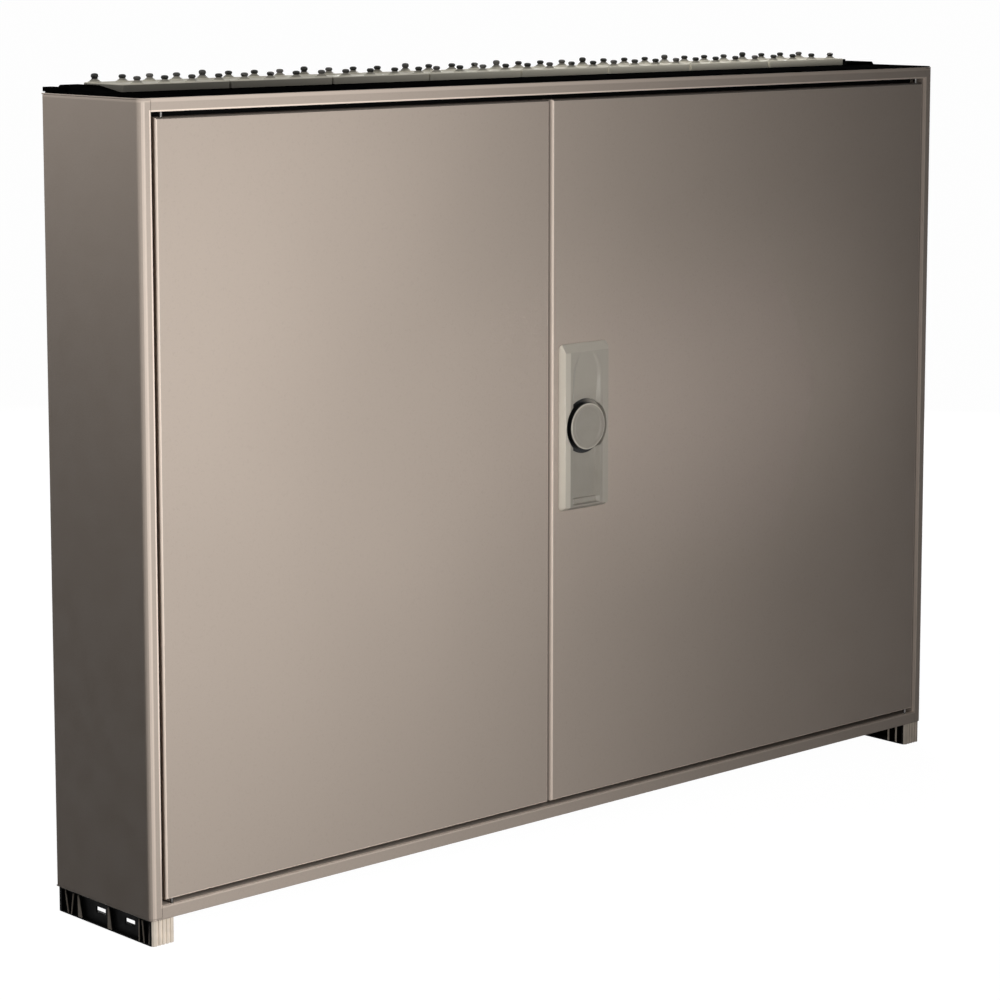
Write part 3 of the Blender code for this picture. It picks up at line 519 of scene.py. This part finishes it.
def side_names(*endings):
    return [f"{side}_{ending}" for side in ("left", "right") for ending in endings]


# Fine pieces
def join_rings(shape, rings):
    """Skin between each ring of points and the next."""
    for lower, upper in zip(rings, rings[1:]):
        for index in range(len(lower)):
            after = (index + 1) % len(lower)
            shape.faces.new((lower[index], lower[after], upper[after], upper[index]))


def add_turned(shape, profile, centre, axis, sides):
    """Turn (radius, height) pairs about an axis through the centre; a radius of 0 closes an end."""
    rings = []
    for radius, height in profile:
        ring = []
        for step in range(sides if radius else 1):
            angle = 2 * math.pi * step / sides
            across = radius * math.cos(angle)
            other = radius * math.sin(angle)
            offset = (across, other, height) if axis == "Z" else (across, height, other)
            ring.append(shape.verts.new([at + by for at, by in zip(centre, offset)]))
        rings.append(ring)
    for lower, upper in zip(rings, rings[1:]):
        for step in range(sides):
            after = (step + 1) % sides
            corners = [lower[step % len(lower)], lower[after % len(lower)]]
            corners += [upper[after % len(upper)], upper[step % len(upper)]]
            shape.faces.new(list(dict.fromkeys(corners)))


def rounded_rectangle(x0, x1, y0, y1, radius):
    steps = 5
    corners = ((x1 - radius, y1 - radius), (x0 + radius, y1 - radius))
    corners += ((x0 + radius, y0 + radius), (x1 - radius, y0 + radius))
    outline = []
    for quarter, (x, y) in enumerate(corners):
        for step in range(steps + 1):
            angle = math.pi / 2 * (quarter + step / steps)
            outline.append((x + radius * math.cos(angle), y + radius * math.sin(angle)))
    return outline


def add_slab(shape, x_range, y_range, layers, radius):
    """Skin over rounded rectangles, one for each (inset, height) layer, with both ends closed."""
    rings = []
    for inset, height in layers:
        corner = max(radius - inset, radius / 4)
        x0, x1 = x_range[0] + inset, x_range[1] - inset
        y0, y1 = y_range[0] + inset, y_range[1] - inset
        outline = rounded_rectangle(x0, x1, y0, y1, corner)
        rings.append([shape.verts.new((x, y, height)) for x, y in outline])
    join_rings(shape, rings)
    shape.faces.new(rings[0])
    shape.faces.new(rings[-1][::-1])


def make_piece(name, shape, body, finish, replaced=()):
    bmesh.ops.recalc_face_normals(shape, faces=shape.faces)
    mesh = bpy.data.meshes.new(name)
    shape.to_mesh(mesh)
    shape.free()
    mesh.shade_smooth()
    mesh.set_sharp_from_angle(angle=math.radians(40))
    mesh.materials.append(finish)
    piece = bpy.data.objects.new(name, mesh)
    bpy.context.scene.collection.objects.link(piece)
    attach(piece, body)
    if replaced:
        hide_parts(*replaced)


def flange_piece(index, finish):
    """Moulded flange plate with a raised rim and two rows of nipples, the first at the rear taller."""
    node = f"cable_flange_{index}"
    low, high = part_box(node)
    top = low.z + FLANGE_THICKNESS
    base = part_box("flange_frame")[0].z + SKIRT_FOOT
    shape = bmesh.new()
    layers = ((0, base), (0, top - 0.0010), (0.0004, top - 0.0003), (0.0010, top), (0.0032, top))
    layers += ((0.0040, top - 0.0005),)
    add_slab(shape, (low.x, high.x), (low.y, high.y), layers, 0.0020)
    columns = 4
    pitch = (high.x - low.x + FLANGE_GAP) / columns
    stagger = STAGGERS[index - 1]
    for row in (-1, 1):
        for column in range(columns):
            rise = TALL_RISE if column == 0 and row == 1 else RISE
            profile = [(radius / 1000, height * rise / NIPPLE_HEIGHT) for radius, height in NIPPLE]
            x = (low.x + high.x) / 2 + (column - (columns - 1) / 2) * pitch - row * stagger
            y = (low.y + high.y) / 2 + row * ROW_OFFSET
            add_turned(shape, profile, (x, y, top), "Z", NIPPLE_SIDES)
    make_piece(f"flange_moulding_{index}", shape, "cabinet", finish, (node,))


def add_ring(shape, outer, inner, z_range):
    """Flat ring between two loops with like points, closed on all sides."""
    loops = []
    for outline, z in ((outer, z_range[0]), (outer, z_range[1]), (inner, z_range[1]), (inner, z_range[0])):
        loops.append([shape.verts.new((x, y, z)) for x, y in outline])
    join_rings(shape, loops + loops[:1])


def add_end_block(shape, x_range, y_range, levels, slope):
    """End block with softened sides; its top slopes down over a share of its depth at the front."""
    low, front_top, top = levels
    front, rear = y_range
    bend = front + slope * (rear - front)
    section = [(front, low), (front, front_top), (bend, top), (rear, top), (rear, low)]
    rings = []
    insets = (0.0, BLOCK_SOFTENING, BLOCK_SOFTENING, 0.0)
    for inset, x in zip(insets, (x_range[0], x_range[0], x_range[1], x_range[1])):
        inward = inset if x == x_range[0] else -inset
        sunk = 0.0 if inset else BLOCK_SOFTENING
        ring = [shape.verts.new((x + inward, y, z if z == low else max(low, z - sunk))) for y, z in section]
        rings.append(ring)
    join_rings(shape, rings)
    shape.faces.new(rings[0])
    shape.faces.new(rings[-1][::-1])


def cover_piece(finish):
    """Thin cover, raised frame with its cable opening, and an end block on each side."""
    low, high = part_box("flange_frame")
    first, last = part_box("cable_flange_1"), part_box("cable_flange_8")
    x0, x1 = first[0].x - FLANGE_GAP / 2, last[1].x + FLANGE_GAP / 2
    y0, y1 = first[0].y, first[1].y
    inside = (x0 + SLOT_INSET, x1 - SLOT_INSET, y0 + SLOT_INSET, y1 - SLOT_INSET)
    slot = rounded_rectangle(*inside, 0.002)
    shape = bmesh.new()
    sheet = rounded_rectangle(low.x, high.x, low.y, high.y, COVER_CORNER)
    add_ring(shape, sheet, slot, (low.z, low.z + COVER_SHEET))
    half = high.x - FRAME_SIDE
    raised = rounded_rectangle(-half, half, y0 - FRAME_BORDER, y1 + FRAME_BORDER, FRAME_BORDER)
    add_ring(shape, raised, slot, (low.z + COVER_SHEET, low.z + FRAME_TOP))
    y_range = (y0 - BLOCK_BORDER, y1 + BLOCK_BORDER)
    foot = low.z + BLOCK_FOOT
    left_levels = (foot, foot + BLOCK_FRONT, high.z - LEFT_BLOCK_DROP)
    right_levels = (foot, low.z + RIGHT_BLOCK_TOP, low.z + RIGHT_BLOCK_TOP)
    add_end_block(shape, (-half + BLOCK_INSET, x0), y_range, left_levels, 0.5)
    add_end_block(shape, (x1, half - BLOCK_INSET), y_range, right_levels, 0.1)
    make_piece("cover_moulding", shape, "cabinet", finish, ("flange_frame",))


def clamp(value):
    return max(0.0, min(1.0, value))


def plate_height(x, z):
    """How far the plate stands off the door: sloped sides, two finger troughs and a ledge."""
    sides = (PLATE_HALF_X - abs(x)) / SLOPE
    ends = min((PLATE_HALF_Z - z) / TOP_SLOPE, (PLATE_HALF_Z + z) / SLOPE)
    face = EDGE_HEIGHT + FACE_RISE * clamp(min(sides, ends))
    half = TROUGH_HALF
    if z > 0:
        depth = TROUGH_DEPTH * clamp(1 - z / TROUGH_TOP)
        if z > TROUGH_ROUNDING:
            half *= math.sqrt(clamp(1 - ((z - TROUGH_ROUNDING) / ROUNDING_LENGTH) ** 2))
    else:
        depth = TROUGH_DEPTH * clamp((z - TROUGH_BOTTOM) / TROUGH_WALL)
        if z < TROUGH_LEDGE:
            depth *= LEDGE_SHARE
    return face - depth * clamp((half - abs(x)) / SLOPE)


def round_corner(x, z):
    """Pull the square corners of the plate in to their radius."""
    over_x = abs(x) - (PLATE_HALF_X - PLATE_CORNER)
    over_z = abs(z) - (PLATE_HALF_Z - PLATE_CORNER)
    if over_x <= 0 or over_z <= 0:
        return x, z
    pull = 1 - max(over_x, over_z) / math.hypot(over_x, over_z)
    return x - math.copysign(over_x * pull, x), z - math.copysign(over_z * pull, z)


def metres(steps):
    return [step / 1000 for step in steps]


def handle_plate_piece(finish):
    """Moulded plate: grids above and below, and rings from the disc's well to them between."""
    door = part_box("handle_plate")[1].y + PLATE_GAP
    shape = bmesh.new()
    made = {}

    def spot(x, z, height=None):
        key = (round(x, 6), round(z, 6), height)
        if key not in made:
            at = plate_height(x, z) if height is None else height
            real_x, real_z = round_corner(x, z)
            made[key] = shape.verts.new((real_x, door - at, HANDLE_Z + real_z))
        return made[key]

    steps_x = metres(range(-HALF_X_MM, HALF_X_MM + 1))
    for steps_z in (range(MIDDLE_MM, HALF_Z_MM + 1), range(-HALF_Z_MM, 1 - MIDDLE_MM)):
        for z0, z1 in zip(metres(steps_z), metres(steps_z[1:])):
            for x0, x1 in zip(steps_x, steps_x[1:]):
                shape.faces.new((spot(x0, z0), spot(x1, z0), spot(x1, z1), spot(x0, z1)))
    edge = [(x, -MIDDLE_HALF_Z) for x in steps_x]
    edge += [(PLATE_HALF_X, z) for z in metres(range(2 - MIDDLE_MM, MIDDLE_MM, 2))]
    edge += [(x, MIDDLE_HALF_Z) for x in reversed(steps_x)]
    edge += [(-PLATE_HALF_X, z) for z in metres(range(MIDDLE_MM - 2, -MIDDLE_MM, -2))]
    rings = []
    for share in [step / WELL_RINGS for step in range(WELL_RINGS + 1)]:
        ring = []
        for x, z in edge:
            reach = math.hypot(x, z)
            scale = (WELL_RADIUS + (reach - WELL_RADIUS) * share) / reach
            ring.append(spot(x, z) if share == 1 else spot(x * scale, z * scale))
        rings.append(ring)
    for radius in (WELL_RADIUS, SPINDLE_RADIUS):
        ring = []
        for x, z in edge:
            scale = radius / math.hypot(x, z)
            ring.append(spot(x * scale, z * scale, WELL_FLOOR))
        rings.insert(0, ring)
    join_rings(shape, rings)
    rim = [(x, -PLATE_HALF_Z) for x in metres(range(-HALF_X_MM, HALF_X_MM))]
    rises = [*range(-HALF_Z_MM, -MIDDLE_MM), *range(-MIDDLE_MM, MIDDLE_MM, 2), *range(MIDDLE_MM, HALF_Z_MM)]
    rim += [(PLATE_HALF_X, z) for z in metres(rises)]
    rim += [(-x, -z) for x, z in rim]
    for index, (x, z) in enumerate(rim):
        x1, z1 = rim[(index + 1) % len(rim)]
        foot = (spot(x, z, PLATE_GAP), spot(x1, z1, PLATE_GAP))
        shape.faces.new((*foot, spot(x1, z1), spot(x, z)))
    make_piece("handle_moulding", shape, "right_leaf", finish, ("handle_plate",))


def handle_disc_piece(finish):
    """Finely turned grip with a rounded rim and a shallow dish."""
    low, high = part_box("handle_disc")
    radius = DISC_RADIUS
    profile = [(0, 0.0014), (radius - 0.0090, 0.0012), (radius - 0.0072, 0.0009), (radius - 0.0060, 0.0002)]
    profile += [(radius - 0.0050, 0.0)]
    for step in range(1, 8):
        angle = math.pi / 2 * step / 7
        profile.append((radius - 0.0018 * (1 - math.sin(angle)), 0.0018 * (1 - math.cos(angle))))
    profile += [(radius, 0.0080), (0.0060, 0.0084), (0.0060, high.y - low.y), (0, high.y - low.y)]
    shape = bmesh.new()
    add_turned(shape, profile, (0, low.y, HANDLE_Z), "Y", DISC_SIDES)
    make_piece("handle_grip", shape, "lock", finish, ("handle_disc",))


def screws(name, spots, sign, body, finish, scale=1.0):
    """Screw heads at their spots, standing off to the front (-1) or to the rear (1)."""
    profile = [(radius * scale / 1000, sign * height * scale / 1000) for radius, height in SCREW]
    shape = bmesh.new()
    for spot in spots:
        add_turned(shape, profile, spot, "Y", SCREW_SIDES)
    make_piece(name, shape, body, finish)


def lock_screws(finish):
    """Fixings in the corners of the lock plate."""
    low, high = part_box("lock_plate")
    spots = []
    for x in (low.x + 0.008, high.x - 0.008):
        spots += [(x, high.y, z) for z in (low.z + 0.010, high.z - 0.010)]
    screws("lock_screws", spots, 1, "right_leaf", finish)


def field_screws(finish):
    """Fixings at both ends of the uprights of every field."""
    spots = []
    for index in FIELD_NUMBERS:
        low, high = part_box(f"field_frame_{index}")
        for x in (low.x + 0.010, high.x - 0.010):
            spots += [(x, low.y + RAIL_FRONT, z) for z in (low.z + 0.012, high.z - 0.012)]
    screws("field_screws", spots, -1, "cabinet", finish, 1.2)


def earth_studs(finish):
    """One bonding screw near the bottom of each door stiffener."""
    for side in ("left", "right"):
        low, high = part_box(f"{side}_door_stiffener")
        spot = ((low.x + high.x) / 2, high.y, low.z + 0.060)
        screws(f"{side}_earth_screw", [spot], 1, f"{side}_leaf", finish, 1.4)


body = body_coat("powder_coat_body", COAT)
dress(body, *side_names("side_panel"), "top_panel", "bottom_panel", "rear_panel", "door_frame")
dress(door_coat("powder_coat_doors", COAT), *side_names("door_panel", "door_stiffener"))
dress(rubber("seal_rubber"), "frame_seal")
dress(zinc("zinc_pins", PIN_DULLED_AND_SHADED), *side_names("hinge_pin_top", "hinge_pin_bottom"))
dress(zinc("zinc_lock"), "lock_plate", "lock_cam", "spindle_nut")
dress(field_finish("zinc_fields"), *[f"field_frame_{index}" for index in FIELD_NUMBERS])
fixings = zinc("zinc_fixings")
lock_screws(fixings)
field_screws(fixings)
earth_studs(fixings)
plate_grey = plate_finish("handle_plate_grey")
grip_grey = grip_finish("handle_grip_grey")
dress(plate_grey, "handle_plate")
dress(grip_grey, "handle_disc")
handle_plate_piece(plate_grey)
handle_disc_piece(grip_grey)
cover_painted_shade = shade_black_cover("cover_painted_shade")
dress(cover_painted_shade, "flange_frame", "wall_lug_left", "wall_lug_right")
cover_piece(cover_painted_shade)
dress(foot_plastic("foot_pale"), "left_foot", "right_foot")
nippled = flange_finish("flange_pale")
for number in FLANGE_NUMBERS:
    dress(nippled, f"cable_flange_{number}")
    flange_piece(number, nippled)


# Floor, light and camera
def light_path_mix(tree, seen_shader, other_shader):
    """One shader for the rays that see the background, and the other shader for the rest."""
    path = tree.nodes.new("ShaderNodeLightPath")
    share = path.outputs[SEEN_RAYS[0]]
    for ray in SEEN_RAYS[1:]:
        joined = tree.nodes.new("ShaderNodeMath")
        joined.operation = "MAXIMUM"
        tree.links.new(share, joined.inputs[0])
        tree.links.new(path.outputs[ray], joined.inputs[1])
        share = joined.outputs[0]
    mixed = tree.nodes.new("ShaderNodeMixShader")
    tree.links.new(share, mixed.inputs[0])
    tree.links.new(other_shader.outputs[0], mixed.inputs[1])
    tree.links.new(seen_shader.outputs[0], mixed.inputs[2])
    return mixed


def studio_floor():
    """Floor that looks white with a faint shadow, and throws little light back on the board."""
    bpy.ops.mesh.primitive_plane_add(size=400, location=(0, 0, 0))
    floor = bpy.context.object
    floor.name = "floor"
    material = bpy.data.materials.new("floor_pale")
    material.use_nodes = True
    tree = material.node_tree
    tree.nodes.clear()
    glow = tree.nodes.new("ShaderNodeEmission")
    glow.inputs["Color"].default_value = (1, 1, 1, 1)
    glow.inputs["Strength"].default_value = 1.06
    matt = tree.nodes.new("ShaderNodeBsdfDiffuse")
    matt.inputs["Color"].default_value = (0.9, 0.9, 0.9, 1)
    seen = tree.nodes.new("ShaderNodeMixShader")
    seen.inputs[0].default_value = 0.93
    tree.links.new(matt.outputs[0], seen.inputs[1])
    tree.links.new(glow.outputs[0], seen.inputs[2])
    around = tree.nodes.new("ShaderNodeBsdfDiffuse")
    around.inputs["Color"].default_value = (0.05, 0.05, 0.05, 1)
    mixed = light_path_mix(tree, seen, around)
    output = tree.nodes.new("ShaderNodeOutputMaterial")
    tree.links.new(mixed.outputs[0], output.inputs["Surface"])
    floor.data.materials.append(material)


def white_background(tree, strength):
    node = tree.nodes.new("ShaderNodeBackground")
    node.inputs["Strength"].default_value = strength
    node.inputs["Color"].default_value = (1, 1, 1, 1)
    return node


def studio_world(fill):
    """White behind the board, with only a weak fill light from it."""
    world = bpy.data.worlds.new("studio")
    bpy.context.scene.world = world
    world.use_nodes = True
    tree = world.node_tree
    tree.nodes.clear()
    mixed = light_path_mix(tree, white_background(tree, 1.0), white_background(tree, fill))
    output = tree.nodes.new("ShaderNodeOutputWorld")
    tree.links.new(mixed.outputs[0], output.inputs["Surface"])


def soft_box(name, place, aim, size, power, spread=180):
    """Area lamp in watts, whose spread in degrees narrows its beam."""
    data = bpy.data.lights.new(name, "AREA")
    data.shape = "RECTANGLE"
    data.size, data.size_y = size
    data.energy = power
    data.spread = math.radians(spread)
    lamp = bpy.data.objects.new(name, data)
    bpy.context.scene.collection.objects.link(lamp)
    lamp.location = place
    lamp.rotation_euler = (Vector(aim) - Vector(place)).to_track_quat("-Z", "Y").to_euler()
    lamp.visible_camera = False


def photo_camera():
    """Camera at the photo's angle: turned 42.67 degrees from the front, looking down 7.43 degrees."""
    data = bpy.data.cameras.new("camera")
    data.sensor_width = 36
    data.lens = 110.2
    data.shift_y = -0.15
    camera = bpy.data.objects.new("camera", data)
    bpy.context.scene.collection.objects.link(camera)
    camera.location = (-2.5520, -2.7064, 1.0757)
    camera.rotation_euler = (math.radians(90 - 7.43), 0, math.radians(-42.67))
    bpy.context.scene.camera = camera


studio_floor()
studio_world(fill=0.02)
soft_box("key", (-0.58, -1.20, 0.55), (-1.0, -0.085, 0.50), (0.12, 1.5), 20.6)
soft_box("side_top", (-1.20, 0.15, 1.50), (-0.65, 0.0, 0.9), (0.4, 0.3), 4.8)
soft_box("gridded", (0.20, -1.30, 0.52), (0.20, -0.085, 0.52), (0.6, 0.08), 0.07, 24)
soft_box("over_top", (0.36, 0.03, 1.45), (0.36, 0.035, 0.93), (0.9, 0.14), 3.6)
soft_box("behind", (2.4, 2.4, 0.8), (0.1, 0.1, 0.5), (1.5, 1.0), 85.0)
photo_camera()
bpy.context.scene.view_settings.view_transform = "Standard"
